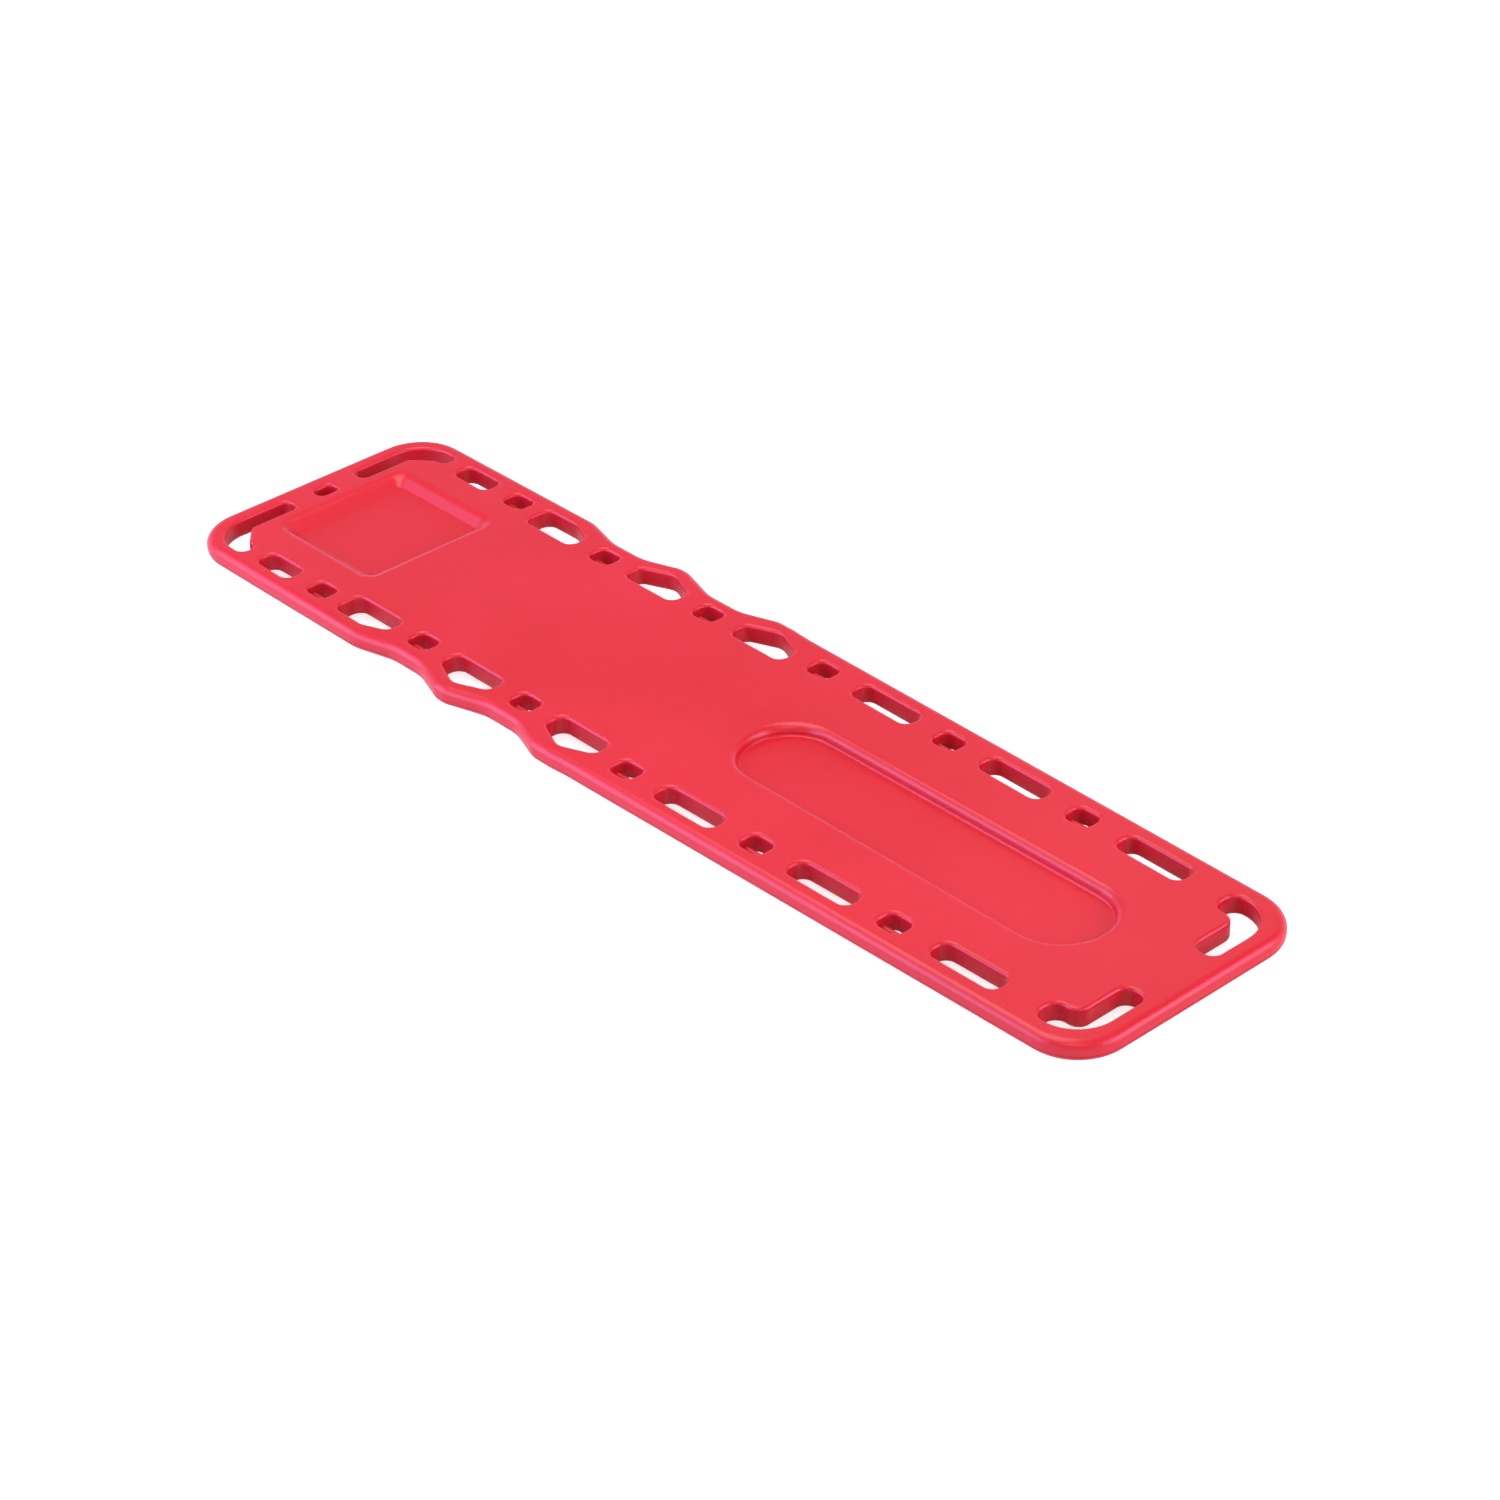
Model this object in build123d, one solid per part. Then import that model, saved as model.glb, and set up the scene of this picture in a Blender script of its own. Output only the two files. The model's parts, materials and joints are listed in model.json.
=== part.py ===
"""Long spine board: two moulded shells round a foam core, with stiffening tubes and strap pins.

Frame: +X runs towards the foot end, +Y towards the patient's left side, +Z up. The origin is
under the middle of the board, on the surface that its two runners stand on.
"""
from build123d import *
from math import atan2, degrees
import os

# Driving dimensions, in millimetres.
HALF_LENGTH = 920.0
RUNNER_HEIGHT = 14.0
EDGE_THICKNESS = 31.0
WALL = 3.5
RIM_RADIUS = 14.0
LIP_RADIUS = 6.0
SEAM_HEIGHT = 25.0
SEAM_GROOVE_DEPTH = 1.0
SEAM_GROOVE_HEIGHT = 1.2

BELLY = RUNNER_HEIGHT
DECK = BELLY + EDGE_THICKNESS

# The board's left edge from head to foot: x, half width, corner radius.
HEAD_HALF_WIDTH = 230.0
BUMP_HALF_WIDTH = 233.0
WAIST_HALF_WIDTH = 212.0
SHOULDER_HALF_WIDTH = 230.5
SHOULDER_X = -34.0
FOOT_HALF_WIDTH = 213.5
CORNER_RADIUS = 80.0
SIDE = [
    (-HALF_LENGTH, HEAD_HALF_WIDTH, CORNER_RADIUS),
    (-507, HEAD_HALF_WIDTH, 60),
    (-440, WAIST_HALF_WIDTH, 80),
    (-374, WAIST_HALF_WIDTH, 80),
    (-314, BUMP_HALF_WIDTH, 30),
    (-296, BUMP_HALF_WIDTH, 30),
    (-228, WAIST_HALF_WIDTH, 80),
    (-160, WAIST_HALF_WIDTH, 80),
    (-100, BUMP_HALF_WIDTH, 35),
    (-66, BUMP_HALF_WIDTH, 60),
    (SHOULDER_X, SHOULDER_HALF_WIDTH, 60),
    (HALF_LENGTH, FOOT_HALF_WIDTH, CORNER_RADIUS),
]

# Strap pin holes lie between the hand holes: a short pitch at the shoulders, a long one at the legs.
SHOULDER_PITCH = 115.0
LEG_PITCH = 128.0
ELBOW_PIN_X = 43.0
PIN_HOLE_LENGTH = 42.0
PIN_HOLE_WIDTH = 34.0
PIN_HOLE_CORNER = 12.0
PIN_HOLES = [
    (-637.0, 185.5),
    (ELBOW_PIN_X - 4 * SHOULDER_PITCH, 170.0),
    (ELBOW_PIN_X - 2 * SHOULDER_PITCH, 170.5),
    (ELBOW_PIN_X, 182.0),
    (ELBOW_PIN_X + 2 * LEG_PITCH, 177.5),
    (ELBOW_PIN_X + 4 * LEG_PITCH, 172.5),
]
HEAD_PIN_X = -874.0
HEAD_PIN_HOLE_LENGTH = 24.0
HEAD_PIN_HOLE_WIDTH = 34.0
HEAD_PIN_HOLE_CORNER = 9.0

PIN_RADIUS = 5.0
PIN_SEAT_DEPTH = 16.0
PIN_SEAT_CLEARANCE = 0.1
PIN_BOSS_RADIUS = 9.0

# Hand holes: straight slots at the head and legs, three wide grips between them.
HEAD_SLOT = (-737.5, 187.0, 77.0, 34.0, 14.0)
LEG_SLOT_LENGTH = 116.0
LEG_SLOT_WIDTH = 35.0
LEG_SLOT_CORNER = 14.0
LEG_SLOTS = [
    (ELBOW_PIN_X + LEG_PITCH, 181.8),
    (ELBOW_PIN_X + 3 * LEG_PITCH, 175.8),
    (ELBOW_PIN_X + 5 * LEG_PITCH + 4, 169.5),
]
GRIP_HALF_LENGTH = 53.0
GRIP_INNER = 155.0
GRIP_SHOULDER = 186.0
GRIP_CREST = 208.0
GRIP_CORNER = 14.0
GRIP_CREST_RADIUS = 26.0
HEAD_GRIP_INNER = 155.5
HEAD_GRIP_OUTER = 202.5
HEAD_GRIP_TURN = 12.0
HEAD_GRIP_TURN_RADIUS = 24.0
HEAD_GRIP_X = ELBOW_PIN_X - 5 * SHOULDER_PITCH
SHOULDER_GRIPS_X = (ELBOW_PIN_X - 3 * SHOULDER_PITCH - 1, ELBOW_PIN_X - SHOULDER_PITCH)

# Hooked openings round the left corners: x, y, corner radius.
HEAD_CORNER_HOLE = [
    (-890, 62, 13),
    (-890, 205, 58),
    (-810, 205, 13),
    (-810, 178, 12),
    (-828, 178, 10),
    (-861, 150, 14),
    (-861, 62, 13),
]
FOOT_CORNER_HOLE = [
    (889, 60, 15),
    (889, 184, 59),
    (813, 184, 16),
    (813, 144, 16),
    (853, 144, 19),
    (853, 60, 15),
]

# Head recess and leg recess in the top face.
HEAD_RECESS_X = (-838.0, -614.0)
HEAD_RECESS_HALF_WIDTH = 118.0
HEAD_RECESS_DEPTH = 14.0
HEAD_RECESS_SLOPE = 18.0
HEAD_RECESS_CORNER = 24.0
LEG_RECESS_X = (98.0, 754.0)
LEG_RECESS_HALF_WIDTH = 73.0
LEG_RECESS_DEPTH = 16.0
LEG_RECESS_SLOPE = 3.0
HEAD_RECESS_RIM = 20.0
LEG_RECESS_RIM = 12.0
RECESS_FLOOR_RADIUS = 3.0

# Runners moulded under the bottom shell.
RUNNER_X = (-640.0, 720.0)
RUNNER_Y = 92.0
RUNNER_WIDTH = 46.0
RUNNER_SLOPE = 5.0
RUNNER_EDGE_RADIUS = 3.0

# Stiffening tubes in the foam.
TUBE_X = (-585.0, 785.0)
TUBE_Y = 122.0
TUBE_RADIUS = 9.5
TUBE_BORE_RADIUS = 7.5
TUBE_PLUG_SHANK = 22.0
TUBE_PLUG_FLANGE = 3.0

# Plugs in the underside, where foam was let in and air let out.
FILL_PLUG_X = -300.0
VENT_PLUG_X = (-800.0, 830.0)
FILL_PLUG_RADIUS = 10.0
VENT_PLUG_RADIUS = 5.0
PLUG_HEAD_MARGIN = 4.0
PLUG_HEAD_HEIGHT = 1.6

# Working values: overlap of cutting tools, nearly round ends, tolerances, and blocks that split the shells.
MARGIN = 5.0
END_FLAT = 1.0
LEAST_FLOOR_CORNER = 6.0
TOLERANCE = 1e-3
SAME_EDGE = 1e-2
STANDING = (Align.CENTER, Align.CENTER, Align.MIN)
HANGING = (Align.CENTER, Align.CENTER, Align.MAX)
SPLIT_BLOCK = (3 * HALF_LENGTH, HALF_LENGTH, 4 * DECK)


def rounded_face(corners):
    """A flat face with straight sides and one rounding radius at each corner (x, y, radius)."""
    points = [(x, y) for x, y, _ in corners]
    radii = [r for _, _, r in corners]
    return make_face(FilletPolyline(*points, radius=radii, close=True).edges())


def mirrored(corners):
    """The same corners on the right side of the board, in the opposite order."""
    return [(x, -y, r) for x, y, r in reversed(corners)]


def prism(face, low, high):
    """The face, drawn on z = 0, as a solid from low to high."""
    return extrude(Pos(0, 0, low) * face, high - low)


def slot_face(x, y, length, width, corner, turn=0.0):
    """A rounded rectangle, length along X, turned by turn degrees about its middle."""
    return Pos(x, y) * Rot(0, 0, turn) * RectangleRounded(length, width, corner)


def edge_turn():
    """How far the tapered leg edge of the left side turns from +X, in degrees."""
    return degrees(atan2(FOOT_HALF_WIDTH - SHOULDER_HALF_WIDTH, HALF_LENGTH - SHOULDER_X))


def outline():
    """The whole edge of the board, seen from above."""
    return rounded_face(SIDE + mirrored(SIDE))


def shoulder_grip(x):
    """Hand hole with a straight inner side and an outer side that follows the bump of the edge."""
    return [
        (x - GRIP_HALF_LENGTH, GRIP_INNER, GRIP_CORNER),
        (x - GRIP_HALF_LENGTH, GRIP_SHOULDER, GRIP_CORNER),
        (x, GRIP_CREST, GRIP_CREST_RADIUS),
        (x + GRIP_HALF_LENGTH, GRIP_SHOULDER, GRIP_CORNER),
        (x + GRIP_HALF_LENGTH, GRIP_INNER, GRIP_CORNER),
    ]


def head_grip(x):
    """Hand hole whose outer side runs straight, then turns in where the edge does."""
    return [
        (x - GRIP_HALF_LENGTH, HEAD_GRIP_INNER, GRIP_CORNER),
        (x - GRIP_HALF_LENGTH, HEAD_GRIP_OUTER, GRIP_CORNER),
        (x + HEAD_GRIP_TURN, HEAD_GRIP_OUTER, HEAD_GRIP_TURN_RADIUS),
        (x + GRIP_HALF_LENGTH, GRIP_SHOULDER, GRIP_CORNER),
        (x + GRIP_HALF_LENGTH, HEAD_GRIP_INNER, GRIP_CORNER),
    ]


def left_hand_holes():
    """The seven hand holes of the left side, from head to foot."""
    turn = edge_turn()
    x, y, length, width, corner = HEAD_SLOT
    faces = [slot_face(x, y, length, width, corner)]
    faces.append(rounded_face(head_grip(HEAD_GRIP_X)))
    for x in SHOULDER_GRIPS_X:
        faces.append(rounded_face(shoulder_grip(x)))
    for x, y in LEG_SLOTS:
        faces.append(slot_face(x, y, LEG_SLOT_LENGTH, LEG_SLOT_WIDTH, LEG_SLOT_CORNER, turn))
    return faces


def left_pin_holes():
    """The six strap pin holes of the left side, from head to foot."""
    size = (PIN_HOLE_LENGTH, PIN_HOLE_WIDTH, PIN_HOLE_CORNER)
    return [slot_face(x, y, *size) for x, y in PIN_HOLES]


def head_pin_hole():
    """The strap pin hole at the middle of the head end."""
    return slot_face(HEAD_PIN_X, 0, HEAD_PIN_HOLE_LENGTH, HEAD_PIN_HOLE_WIDTH, HEAD_PIN_HOLE_CORNER)


def through_holes():
    """Every opening that goes right through the board, on both sides."""
    left = left_hand_holes() + left_pin_holes()
    left.append(rounded_face(HEAD_CORNER_HOLE))
    left.append(rounded_face(FOOT_CORNER_HOLE))
    right = [mirror(face, about=Plane.XZ) for face in left]
    return left + right + [head_pin_hole()]


def sloped_pocket(length_ends, half_width, corner, depth, slope, grow=0.0):
    """A shallow pocket tool that narrows by slope from the deck down to depth."""
    low_x, high_x = length_ends
    length = high_x - low_x + 2 * grow
    width = 2 * half_width + 2 * grow
    top = RectangleRounded(length, width, corner + grow)
    floor_corner = max(corner + grow - slope, LEAST_FLOOR_CORNER)
    bottom = RectangleRounded(length - 2 * slope, width - 2 * slope, floor_corner)
    middle = Pos((low_x + high_x) / 2, 0, 0)
    sides = loft([middle * Pos(0, 0, DECK) * top, middle * Pos(0, 0, DECK - depth - grow) * bottom])
    return sides + prism(middle * top, DECK, DECK + MARGIN)


def head_recess(grow=0.0):
    """The square hollow for the back of the head, or that hollow grown on every side."""
    return sloped_pocket(
        HEAD_RECESS_X, HEAD_RECESS_HALF_WIDTH, HEAD_RECESS_CORNER, HEAD_RECESS_DEPTH,
        HEAD_RECESS_SLOPE, grow,
    )


def leg_recess(grow=0.0):
    """The long round-ended hollow for the legs, or that hollow grown on every side."""
    return sloped_pocket(
        LEG_RECESS_X, LEG_RECESS_HALF_WIDTH, LEG_RECESS_HALF_WIDTH - END_FLAT, LEG_RECESS_DEPTH,
        LEG_RECESS_SLOPE, grow,
    )


def runner(shrink=0.0, overlap=0.0):
    """A long skid with sloped sides, from the ground up to the belly of the board."""
    low_x, high_x = RUNNER_X
    length = high_x - low_x - 2 * shrink
    width = RUNNER_WIDTH - 2 * shrink
    corner = width / 2 - END_FLAT
    foot = RectangleRounded(length - 2 * RUNNER_SLOPE, width - 2 * RUNNER_SLOPE, corner - RUNNER_SLOPE)
    root = RectangleRounded(length, width, corner)
    middle = Pos((low_x + high_x) / 2, RUNNER_Y, 0)
    skid = loft([middle * Pos(0, 0, shrink) * foot, middle * Pos(0, 0, BELLY) * root])
    if overlap:
        skid += prism(middle * root, BELLY, BELLY + overlap)
    return skid


def level_edges(shape, height):
    """Edges that lie flat at one height."""
    flat = shape.edges().filter_by(lambda e: e.bounding_box().size.Z < TOLERANCE)
    return [e for e in flat if abs(e.center().Z - height) < TOLERANCE]


def new_level_edges(shape, height, before):
    """Edges at one height that were not there before a cut."""
    old = [e.center() for e in before]
    level = level_edges(shape, height)
    return [e for e in level if all((e.center() - c).length > SAME_EDGE for c in old)]


def rounded_body(holes):
    """The board without recesses and runners: rounded rim and rounded hole lips."""
    body = prism(outline(), BELLY, DECK)
    body = fillet(level_edges(body, DECK) + level_edges(body, BELLY), RIM_RADIUS)
    rim = level_edges(body, DECK) + level_edges(body, BELLY)
    for face in holes:
        body -= prism(face, BELLY - MARGIN, DECK + MARGIN)
    lips = new_level_edges(body, DECK, rim) + new_level_edges(body, BELLY, rim)
    return fillet(lips, LIP_RADIUS)


def moulding(holes):
    """The whole outer shape of the board as one solid."""
    body = rounded_body(holes)
    flat = level_edges(body, DECK)
    body -= rounded_tool(head_recess())
    body = fillet(new_level_edges(body, DECK, flat), HEAD_RECESS_RIM)
    flat = level_edges(body, DECK)
    body -= rounded_tool(leg_recess())
    body = fillet(new_level_edges(body, DECK, flat), LEG_RECESS_RIM)
    skid = rounded_skid(runner())
    body += skid
    body += mirror(skid, about=Plane.XZ)
    return body - seam_groove()


def rounded_tool(tool):
    """A recess tool with its floor edge rounded."""
    floor = tool.faces().sort_by(Axis.Z)[0]
    return fillet(floor.edges(), RECESS_FLOOR_RADIUS)


def rounded_skid(skid):
    """A runner with its ground edge rounded."""
    ground = skid.faces().sort_by(Axis.Z)[0]
    return fillet(ground.edges(), RUNNER_EDGE_RADIUS)


def seam_groove():
    """The fine line round the edge where the two shells are welded."""
    low = SEAM_HEIGHT - SEAM_GROOVE_HEIGHT / 2
    high = SEAM_HEIGHT + SEAM_GROOVE_HEIGHT / 2
    outer = outline()
    inner = offset(outer, amount=-SEAM_GROOVE_DEPTH)
    return prism(offset(outer, amount=MARGIN) - inner, low, high)


def cavity(holes):
    """The space inside the shells, which the foam fills."""
    low, high = BELLY + WALL, DECK - WALL
    inside = prism(offset(outline(), amount=-WALL), low, high)
    inside = fillet(level_edges(inside, high) + level_edges(inside, low), RIM_RADIUS - WALL)
    for face in holes:
        inside -= prism(offset(face, amount=WALL), BELLY, DECK)
    inside -= head_recess(WALL)
    flat = level_edges(inside, high)
    inside -= leg_recess(WALL)
    inside = fillet(new_level_edges(inside, high, flat), LEG_RECESS_RIM - WALL)
    skid = runner(WALL, WALL)
    inside += skid
    inside += mirror(skid, about=Plane.XZ)
    return inside


def side_pin(x, y, radius, reach):
    """A rod along X across a strap pin hole, reach past the hole at each end."""
    length = PIN_HOLE_LENGTH + 2 * reach
    return Pos(x, y, SEAM_HEIGHT) * Rot(0, 90, 0) * Cylinder(radius, length)


def head_pin(radius, reach):
    """A rod along Y across the head pin hole."""
    length = HEAD_PIN_HOLE_WIDTH + 2 * reach
    return Pos(HEAD_PIN_X, 0, SEAM_HEIGHT) * Rot(90, 0, 0) * Cylinder(radius, length)


def pin_places():
    """The middle of each side strap pin, by node name."""
    places = {}
    for number, (x, y) in enumerate(PIN_HOLES, 1):
        for side, sign in (("left", 1), ("right", -1)):
            places[f"strap_pin_{side}_{number}"] = (x, sign * y)
    return places


def all_pins(radius, reach):
    """A rod of this radius and reach on the line of every strap pin, by node name."""
    pins = {name: side_pin(*place, radius, reach) for name, place in pin_places().items()}
    pins["strap_pin_head"] = head_pin(radius, reach)
    return pins


def tube_at(sign, radius, low_x, high_x):
    """A round bar along X on the line of one stiffening tube."""
    middle = Pos((low_x + high_x) / 2, sign * TUBE_Y, (BELLY + DECK) / 2)
    return middle * Rot(0, 90, 0) * Cylinder(radius, high_x - low_x)


def stiffener_tube(sign):
    """A composite tube down one side of the foam."""
    low, high = TUBE_X
    bore = tube_at(sign, TUBE_BORE_RADIUS, low - MARGIN, high + MARGIN)
    return tube_at(sign, TUBE_RADIUS, low, high) - bore


def tube_plug(sign, end):
    """A stepped plug that keeps foam out of one end of a tube; end is -1 at the head."""
    face = TUBE_X[0] if end < 0 else TUBE_X[1]
    shank = sorted((face, face - end * TUBE_PLUG_SHANK))
    flange = sorted((face, face + end * TUBE_PLUG_FLANGE))
    return tube_at(sign, TUBE_BORE_RADIUS, *shank) + tube_at(sign, TUBE_RADIUS, *flange)


def belly_plug(x, radius):
    """A push-in plug with a flat head below the belly and a shank through the wall."""
    head = Cylinder(radius + PLUG_HEAD_MARGIN, PLUG_HEAD_HEIGHT, align=HANGING)
    head = chamfer(head.edges().sort_by(Axis.Z)[0], PLUG_HEAD_HEIGHT / 2)
    shank = Cylinder(radius, WALL, align=STANDING)
    return Pos(x, 0, BELLY) * (head + shank)


def belly_plugs():
    """The foam filling plug and the two vent plugs, by node name."""
    plugs = {"foam_fill_plug": belly_plug(FILL_PLUG_X, FILL_PLUG_RADIUS)}
    for name, x in zip(("vent_plug_head", "vent_plug_foot"), VENT_PLUG_X):
        plugs[name] = belly_plug(x, VENT_PLUG_RADIUS)
    return plugs


def shells(holes, inside):
    """The top and bottom shells, parted at the seam, with half-round seats for the strap pins."""
    solid = moulding(holes) - inside
    for seat in all_pins(PIN_RADIUS + PIN_SEAT_CLEARANCE, PIN_SEAT_DEPTH).values():
        solid -= seat
    above = Pos(0, 0, SEAM_HEIGHT) * Box(*SPLIT_BLOCK, align=STANDING)
    below = Pos(0, 0, SEAM_HEIGHT) * Box(*SPLIT_BLOCK, align=HANGING)
    return solid & above, solid & below


def build():
    """Every sub-part by node name."""
    holes = through_holes()
    foam = cavity(holes)
    for boss in all_pins(PIN_BOSS_RADIUS, PIN_SEAT_DEPTH + WALL).values():
        foam -= boss
    top, bottom = shells(holes, foam)
    plugs = belly_plugs()
    for plug in plugs.values():
        bottom -= plug
    nodes = {"top_shell": top, "bottom_shell": bottom}
    low, high = TUBE_X
    for side, sign in (("left", 1), ("right", -1)):
        nodes[f"stiffener_tube_{side}"] = stiffener_tube(sign)
        nodes[f"tube_plug_{side}_head"] = tube_plug(sign, -1)
        nodes[f"tube_plug_{side}_foot"] = tube_plug(sign, 1)
        foam -= tube_at(sign, TUBE_RADIUS, low - TUBE_PLUG_FLANGE, high + TUBE_PLUG_FLANGE)
    nodes["foam_core"] = foam
    nodes.update(all_pins(PIN_RADIUS, PIN_SEAT_DEPTH))
    nodes.update(plugs)
    return nodes


if __name__ == "__main__":
    os.makedirs("parts", exist_ok=True)
    for name, shape in build().items():
        export_step(shape, f"parts/{name}.step")
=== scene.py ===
"""Looks of the long spine board: moulded red polyethylene, its inner parts, a studio and the camera."""
import json
import math

import bpy
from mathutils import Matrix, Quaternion, Vector


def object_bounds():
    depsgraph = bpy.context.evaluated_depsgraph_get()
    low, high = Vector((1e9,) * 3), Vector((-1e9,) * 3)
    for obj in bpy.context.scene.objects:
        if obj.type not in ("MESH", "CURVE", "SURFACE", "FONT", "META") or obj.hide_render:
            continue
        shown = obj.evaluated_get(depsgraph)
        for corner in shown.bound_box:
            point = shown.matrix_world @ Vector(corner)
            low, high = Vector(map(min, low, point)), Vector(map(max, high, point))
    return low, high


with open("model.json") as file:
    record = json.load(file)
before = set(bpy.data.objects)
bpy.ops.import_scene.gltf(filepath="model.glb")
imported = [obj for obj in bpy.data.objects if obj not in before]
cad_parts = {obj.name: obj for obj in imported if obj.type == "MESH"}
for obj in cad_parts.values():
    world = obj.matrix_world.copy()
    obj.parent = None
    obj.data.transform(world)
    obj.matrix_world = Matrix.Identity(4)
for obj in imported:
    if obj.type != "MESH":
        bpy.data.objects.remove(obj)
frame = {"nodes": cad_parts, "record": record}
cad_low, cad_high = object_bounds()

# Camera: where it looks, from which side, and how far away.
CAMERA_AIM = Vector((0.1261, -0.0319, cad_high.z))
CAMERA_AZIMUTH = 48.93
CAMERA_ELEVATION = 32.83
CAMERA_ROLL = -2.0
CAMERA_DISTANCE = 5.386
CAMERA_LENS = 94.98
SENSOR_WIDTH = 36.0
CLIP_NEAR = 0.1
CLIP_FAR = 600.0

# Studio: the floor, the tent over it (its height is the sine of the angle above the horizon) and colours.
FLOOR_SIZE = 400.0
FLOOR_COLOUR = (0.80, 0.80, 0.80)
FLOOR_SHADE = 0.99
FLOOR_GLOW = 0.06
FLOOR_GLOW_SEEN = 0.78
SKY_MIDDLE = 0.43
SKY_HORIZON = 1.7
WHITE = (1.0, 1.0, 1.0)
COOL_LIGHT = (0.40, 0.52, 1.0)
PINK_LIGHT = (0.95, 0.66, 1.0)
HORIZON_COLOUR = (0.62, 0.72, 1.0)
HORIZON_TOP = 0.38
HORIZON_FULL = 0.12

# Softboxes and cards: name, place, size, watts and colour.
LIGHTS = [
    ("overhead_softbox", (-0.5, -0.3, 3.0), (2.8, 2.2), 70.0, WHITE),
    ("side_softbox", (-1.5, -2.4, 1.2), (3.6, 1.8), 112.0, COOL_LIGHT),
    ("foot_softbox", (3.2, 1.4, 1.4), (2.4, 1.8), 78.0, PINK_LIGHT),
    ("head_card", (-2.6, -1.2, 1.9), (1.4, 1.0), 9.0, COOL_LIGHT),
    ("corner_card", (1.9, -1.5, 2.5), (1.2, 0.8), 12.0, WHITE),
    ("back_card", (-0.6, 2.2, 2.0), (2.0, 1.0), 3.0, WHITE),
]

# Red polyethylene: its deep, light and fleck colours on the shells and on the plugs underneath.
SHELL_RED = ((0.545, 0.006, 0.016), (0.59, 0.008, 0.022), (0.66, 0.05, 0.07))
PLUG_RED = ((0.42, 0.005, 0.016), (0.47, 0.007, 0.022), (0.60, 0.07, 0.09))
SATIN_ROUGHNESS = (0.29, 0.36)

# The parts of noise's range that carry a colour change and a roughness change.
NOISE_MIDDLE = (0.35, 0.65)
NOISE_BROAD = (0.3, 0.7)

# Sockets of a Mix node that mixes colours.
MIX_FACTOR = 0
MIX_FIRST = 6
MIX_SECOND = 7
MIX_RESULT = 2

MILLIMETRE = 0.001


# ---------------------------------------------------------------- shader helpers

class Shader:
    """A material under construction, with short calls for the nodes that the recipes share."""

    def __init__(self, name):
        self.material = bpy.data.materials.new(name)
        self.material.use_nodes = True
        self.tree = self.material.node_tree
        self.surface = self.tree.nodes["Principled BSDF"]
        self.place = self.tree.nodes.new("ShaderNodeTexCoord").outputs["Object"]

    def link(self, source, target):
        """Joins one node's output to another one's input."""
        self.tree.links.new(source, target)

    def node(self, kind, inputs=None, **settings):
        """A node of this kind; an input's value is a number, a colour or another node's output."""
        made = self.tree.nodes.new(kind)
        for key, value in settings.items():
            setattr(made, key, value)
        for key, value in (inputs or {}).items():
            if isinstance(value, bpy.types.NodeSocket):
                self.link(value, made.inputs[key])
            else:
                made.inputs[key].default_value = value
        return made

    def stretched(self, scale):
        """Object coordinates in metres, scaled along each axis."""
        return self.node("ShaderNodeMapping", {"Vector": self.place, "Scale": scale}).outputs["Vector"]

    def noise(self, scale, detail=3.0, roughness=0.5, stretch=None):
        """Noise with this many cells a metre."""
        vector = self.stretched(stretch) if stretch else self.place
        inputs = {"Vector": vector, "Scale": scale, "Detail": detail, "Roughness": roughness}
        return self.node("ShaderNodeTexNoise", inputs).outputs["Fac"]

    def cells(self, scale):
        """Distance to the nearest of this many points a metre."""
        inputs = {"Vector": self.place, "Scale": scale}
        return self.node("ShaderNodeTexVoronoi", inputs).outputs["Distance"]

    def remap(self, value, low, high, to_low, to_high):
        """The value's range low..high carried to to_low..to_high, and held there outside it."""
        inputs = {"Value": value, "From Min": low, "From Max": high, "To Min": to_low, "To Max": to_high}
        return self.node("ShaderNodeMapRange", inputs).outputs["Result"]

    def blend(self, amount, first, second):
        """Two colours mixed by an amount."""
        made = self.node("ShaderNodeMix", data_type="RGBA")
        sockets = {
            "Factor": made.inputs[MIX_FACTOR],
            "A": made.inputs[MIX_FIRST],
            "B": made.inputs[MIX_SECOND],
        }
        for key, value in (("Factor", amount), ("A", first), ("B", second)):
            if isinstance(value, bpy.types.NodeSocket):
                self.link(value, sockets[key])
            elif key == "Factor":
                sockets[key].default_value = value
            else:
                sockets[key].default_value = (*value, 1.0)
        return made.outputs[MIX_RESULT]

    def bump(self, height, distance, strength=1.0, under=None):
        """A bump of this height in metres, on top of another one."""
        inputs = {"Height": height, "Distance": distance, "Strength": strength}
        if under is not None:
            inputs["Normal"] = under
        return self.node("ShaderNodeBump", inputs).outputs["Normal"]

    def finish(self, colour, roughness, normal=None, **fixed):
        """Connects the results to the surface; fixed values are set on its own sockets."""
        self.link(colour, self.surface.inputs["Base Color"])
        self.link(roughness, self.surface.inputs["Roughness"])
        if normal is not None:
            self.link(normal, self.surface.inputs["Normal"])
        for key, value in fixed.items():
            self.surface.inputs[key.replace("_", " ").title().replace("Ior", "IOR")].default_value = value
        return self.material


# ---------------------------------------------------------------- materials

def moulded_polyethylene(name, deep, light, fleck):
    """Satin moulded polyethylene: faint colour clouds, fine grain and slow waves from cooling."""
    s = Shader(name)
    clouds = s.remap(s.noise(2.6, 4.0, 0.55), *NOISE_MIDDLE, 0.0, 1.0)
    colour = s.blend(clouds, deep, light)
    flecks = s.remap(s.noise(420.0, 3.0), 0.40, 0.60, 0.0, 0.05)
    colour = s.blend(flecks, colour, fleck)
    roughness = s.remap(s.noise(6.0, 5.0, 0.6), *NOISE_BROAD, *SATIN_ROUGHNESS)
    waves = s.bump(s.noise(7.0, 1.0), 0.0012, 0.35)
    grain = s.bump(s.noise(800.0, 2.0), 0.04 * MILLIMETRE, 0.3, under=waves)
    return s.finish(colour, roughness, grain, ior=1.5, specular_ior_level=0.42)


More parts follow.
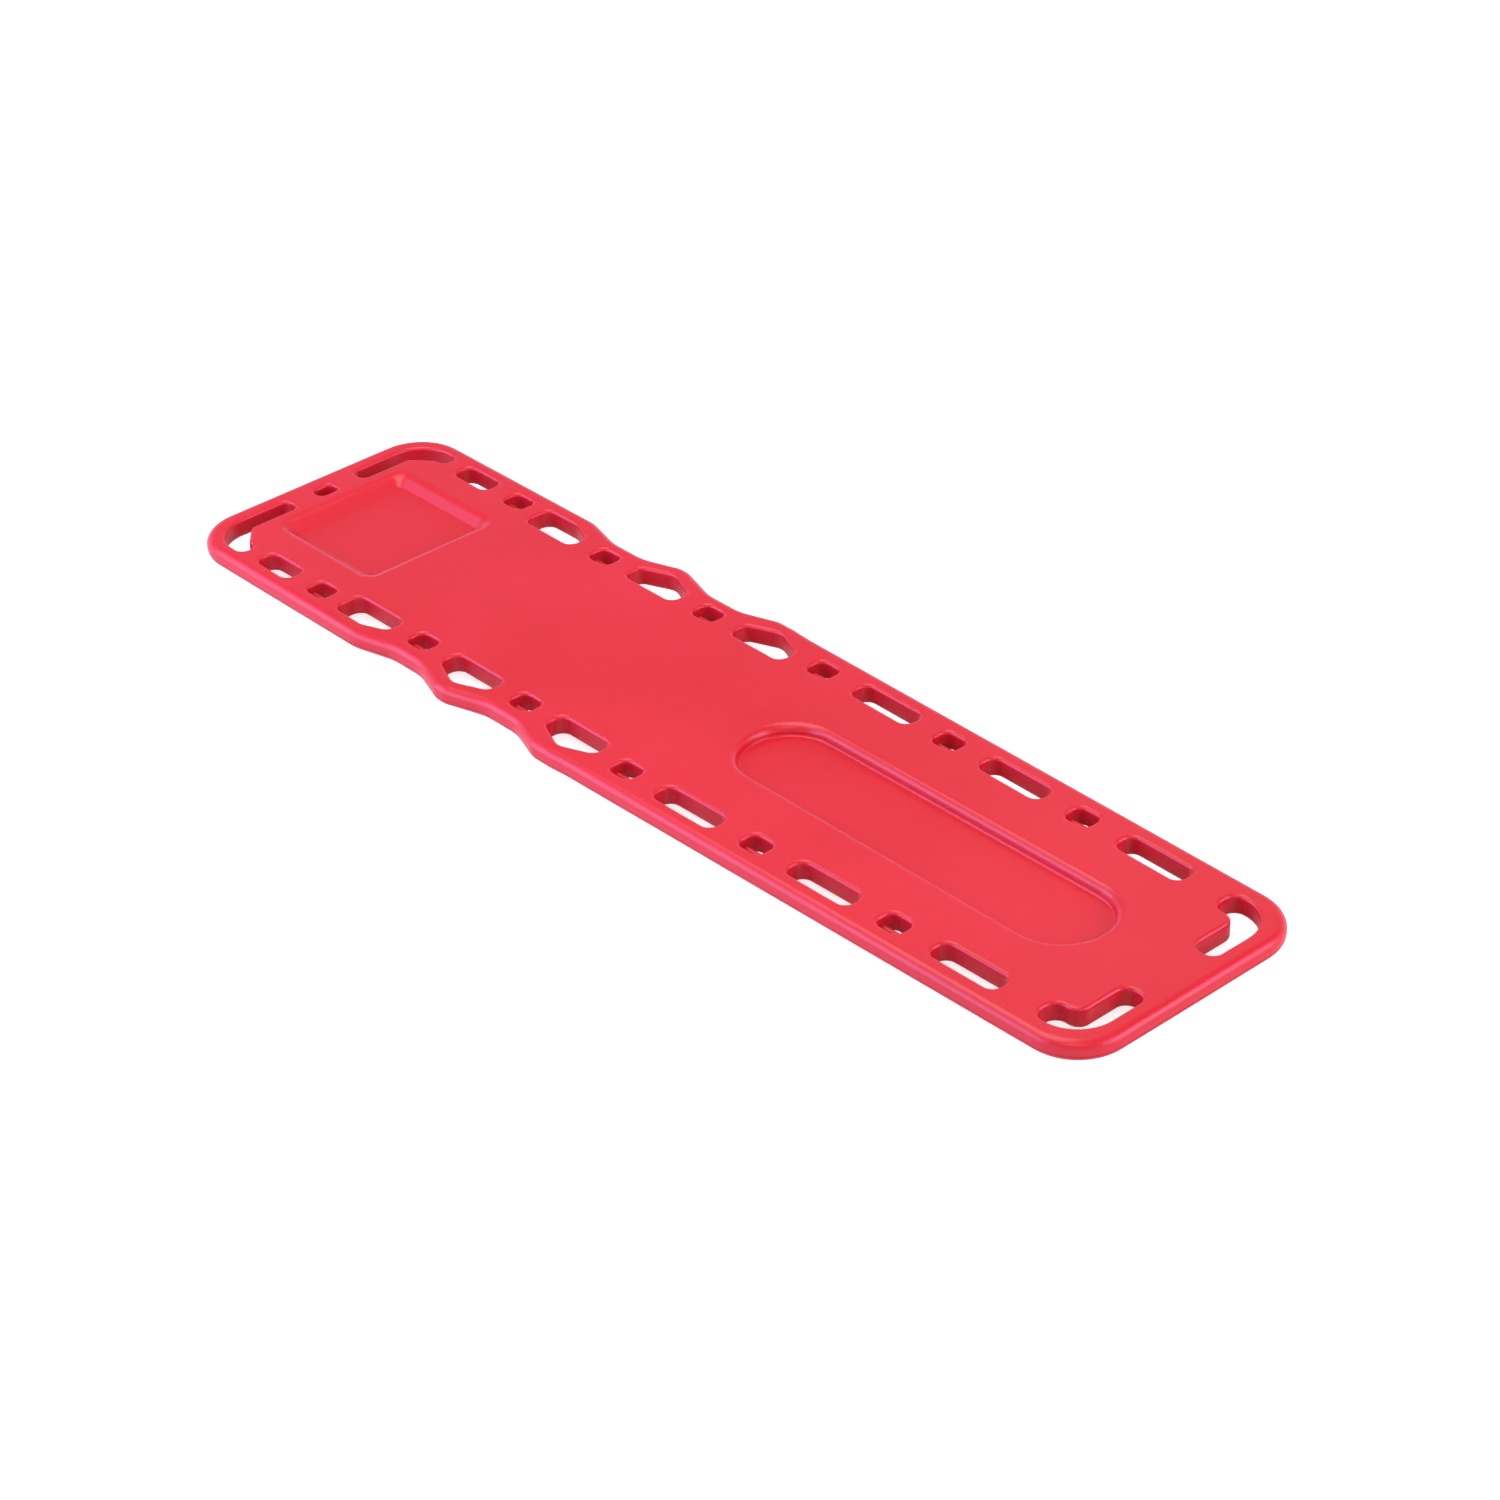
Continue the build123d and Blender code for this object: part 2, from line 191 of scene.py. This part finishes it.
def extruded_nylon_rod(name):
    """Dark red glass-filled rod: die lines round it and small pale fibre ends."""
    s = Shader(name)
    shade = s.remap(s.noise(350.0, 3.0), *NOISE_MIDDLE, 0.0, 1.0)
    colour = s.blend(shade, (0.54, 0.006, 0.018), (0.62, 0.010, 0.026))
    fibres = s.remap(s.noise(1600.0, 2.0, stretch=(0.2, 1.0, 1.0)), 0.62, 0.74, 0.0, 0.3)
    colour = s.blend(fibres, colour, (0.62, 0.10, 0.12))
    roughness = s.remap(s.noise(500.0, 3.0), *NOISE_BROAD, 0.38, 0.55)
    marks = s.bump(s.noise(2400.0, 1.0), 0.03 * MILLIMETRE, 0.5)
    return s.finish(colour, roughness, marks, ior=1.53)


def pultruded_tube(name):
    """Dark composite tube with fibres along it."""
    s = Shader(name)
    fibres = s.noise(1300.0, 3.0, 0.6, stretch=(0.03, 1.0, 1.0))
    colour = s.blend(s.remap(fibres, *NOISE_MIDDLE, 0.0, 1.0), (0.022, 0.022, 0.025), (0.085, 0.085, 0.095))
    roughness = s.remap(fibres, *NOISE_BROAD, 0.30, 0.48)
    relief = s.bump(fibres, 0.05 * MILLIMETRE, 0.6)
    return s.finish(colour, roughness, relief, ior=1.55)


def natural_plastic(name):
    """Unpigmented polyethylene plugs, slightly milky."""
    s = Shader(name)
    clouds = s.remap(s.noise(60.0, 3.0), *NOISE_MIDDLE, 0.0, 1.0)
    colour = s.blend(clouds, (0.66, 0.64, 0.58), (0.80, 0.79, 0.74))
    roughness = s.remap(s.noise(90.0, 3.0), *NOISE_BROAD, 0.40, 0.55)
    relief = s.bump(s.noise(800.0, 2.0), 0.05 * MILLIMETRE, 0.5)
    return s.finish(colour, roughness, relief, ior=1.5)


def rigid_foam(name):
    """Poured polyurethane foam: small closed cells under a thin skin."""
    s = Shader(name)
    cells = s.cells(900.0)
    colour = s.blend(s.remap(cells, 0.0, 0.7, 0.0, 1.0), (0.86, 0.74, 0.48), (0.70, 0.56, 0.30))
    tan = s.remap(s.noise(9.0, 4.0), *NOISE_MIDDLE, 0.0, 0.5)
    colour = s.blend(tan, colour, (0.78, 0.62, 0.36))
    roughness = s.remap(cells, 0.0, 0.7, 0.75, 0.95)
    relief = s.bump(cells, 0.35 * MILLIMETRE, 0.8)
    return s.finish(colour, roughness, relief, ior=1.45)


def paint_nodes():
    """Gives every CAD node the material of its slot in the record."""
    looks = {
        "red_polyethylene": moulded_polyethylene("red_polyethylene", *SHELL_RED),
        "belly_plug_plastic": moulded_polyethylene("belly_plug_plastic", *PLUG_RED),
        "pin_nylon": extruded_nylon_rod("pin_nylon"),
        "composite_tube": pultruded_tube("composite_tube"),
        "tube_plug_plastic": natural_plastic("tube_plug_plastic"),
        "polyurethane_foam": rigid_foam("polyurethane_foam"),
    }
    for subpart in frame["record"]["subparts"]:
        piece = frame["nodes"][subpart["node"]]
        piece.data.materials.clear()
        piece.data.materials.append(looks[subpart["material_slot"]])


# ---------------------------------------------------------------- studio

def studio_floor():
    """A pale table, nearly white to the eye, that lights the board only a little."""
    bpy.ops.mesh.primitive_plane_add(size=FLOOR_SIZE, location=(0.0, 0.0, cad_low.z))
    floor = bpy.context.object
    floor.name = "studio_floor"
    s = Shader("studio_floor")
    paper = s.noise(0.4, 2.0)
    shaded = [c * FLOOR_SHADE for c in FLOOR_COLOUR]
    colour = s.blend(s.remap(paper, *NOISE_BROAD, 0.0, 1.0), FLOOR_COLOUR, shaded)
    roughness = s.remap(paper, *NOISE_BROAD, 0.88, 0.92)
    floor.data.materials.append(s.finish(colour, roughness, specular_ior_level=0.1))
    seen = s.node("ShaderNodeLightPath").outputs["Is Camera Ray"]
    s.surface.inputs["Emission Color"].default_value = (1.0, 1.0, 1.0, 1.0)
    s.link(s.remap(seen, 0.0, 1.0, FLOOR_GLOW, FLOOR_GLOW_SEEN), s.surface.inputs["Emission Strength"])


def area_light(name, place, size, watts, colour):
    """A softbox that faces the middle of the board."""
    light = bpy.data.lights.new(name, "AREA")
    light.shape = "RECTANGLE"
    light.size, light.size_y = size
    light.energy = watts
    light.color = colour
    holder = bpy.data.objects.new(name, light)
    holder.location = place
    holder.rotation_mode = "QUATERNION"
    holder.rotation_quaternion = (-Vector(place)).to_track_quat("-Z", "Y")
    bpy.context.scene.collection.objects.link(holder)


def studio_sky():
    """A grey tent over the board, with a brighter and cooler band near the horizon."""
    world = bpy.data.worlds.new("studio")
    world.use_nodes = True
    tree = world.node_tree
    direction = tree.nodes.new("ShaderNodeTexCoord").outputs["Generated"]
    parts = tree.nodes.new("ShaderNodeSeparateXYZ")
    tree.links.new(direction, parts.inputs["Vector"])
    band = tree.nodes.new("ShaderNodeMapRange")
    band.interpolation_type = "SMOOTHSTEP"
    band.inputs["From Min"].default_value = HORIZON_TOP
    band.inputs["From Max"].default_value = HORIZON_FULL
    tree.links.new(parts.outputs["Z"], band.inputs["Value"])
    sky = tree.nodes.new("ShaderNodeMix")
    sky.data_type = "RGBA"
    sky.inputs[MIX_FIRST].default_value = (*[SKY_MIDDLE] * 3, 1.0)
    sky.inputs[MIX_SECOND].default_value = (*[SKY_HORIZON * c for c in HORIZON_COLOUR], 1.0)
    tree.links.new(band.outputs["Result"], sky.inputs[MIX_FACTOR])
    tree.links.new(sky.outputs[MIX_RESULT], tree.nodes["Background"].inputs["Color"])
    bpy.context.scene.world = world


def studio_lights():
    """All softboxes and cards, and a plain view transform."""
    for name, place, size, watts, colour in LIGHTS:
        area_light(name, place, size, watts, colour)
    bpy.context.scene.view_settings.view_transform = "Standard"


def studio_camera():
    """The camera on a line from its aim, turned by azimuth, raised by elevation, then rolled."""
    azimuth, elevation = math.radians(CAMERA_AZIMUTH), math.radians(CAMERA_ELEVATION)
    back = Vector((
        math.sin(azimuth) * math.cos(elevation),
        -math.cos(azimuth) * math.cos(elevation),
        math.sin(elevation),
    ))
    camera = bpy.data.cameras.new("camera")
    camera.sensor_width = SENSOR_WIDTH
    camera.lens = CAMERA_LENS
    camera.clip_start = CLIP_NEAR
    camera.clip_end = CLIP_FAR
    holder = bpy.data.objects.new("camera", camera)
    holder.location = CAMERA_AIM + back * CAMERA_DISTANCE
    holder.rotation_mode = "QUATERNION"
    roll = Quaternion((0.0, 0.0, 1.0), math.radians(CAMERA_ROLL))
    holder.rotation_quaternion = (-back).to_track_quat("-Z", "Y") @ roll
    bpy.context.scene.collection.objects.link(holder)
    bpy.context.scene.camera = holder


paint_nodes()
studio_floor()
studio_sky()
studio_lights()
studio_camera()
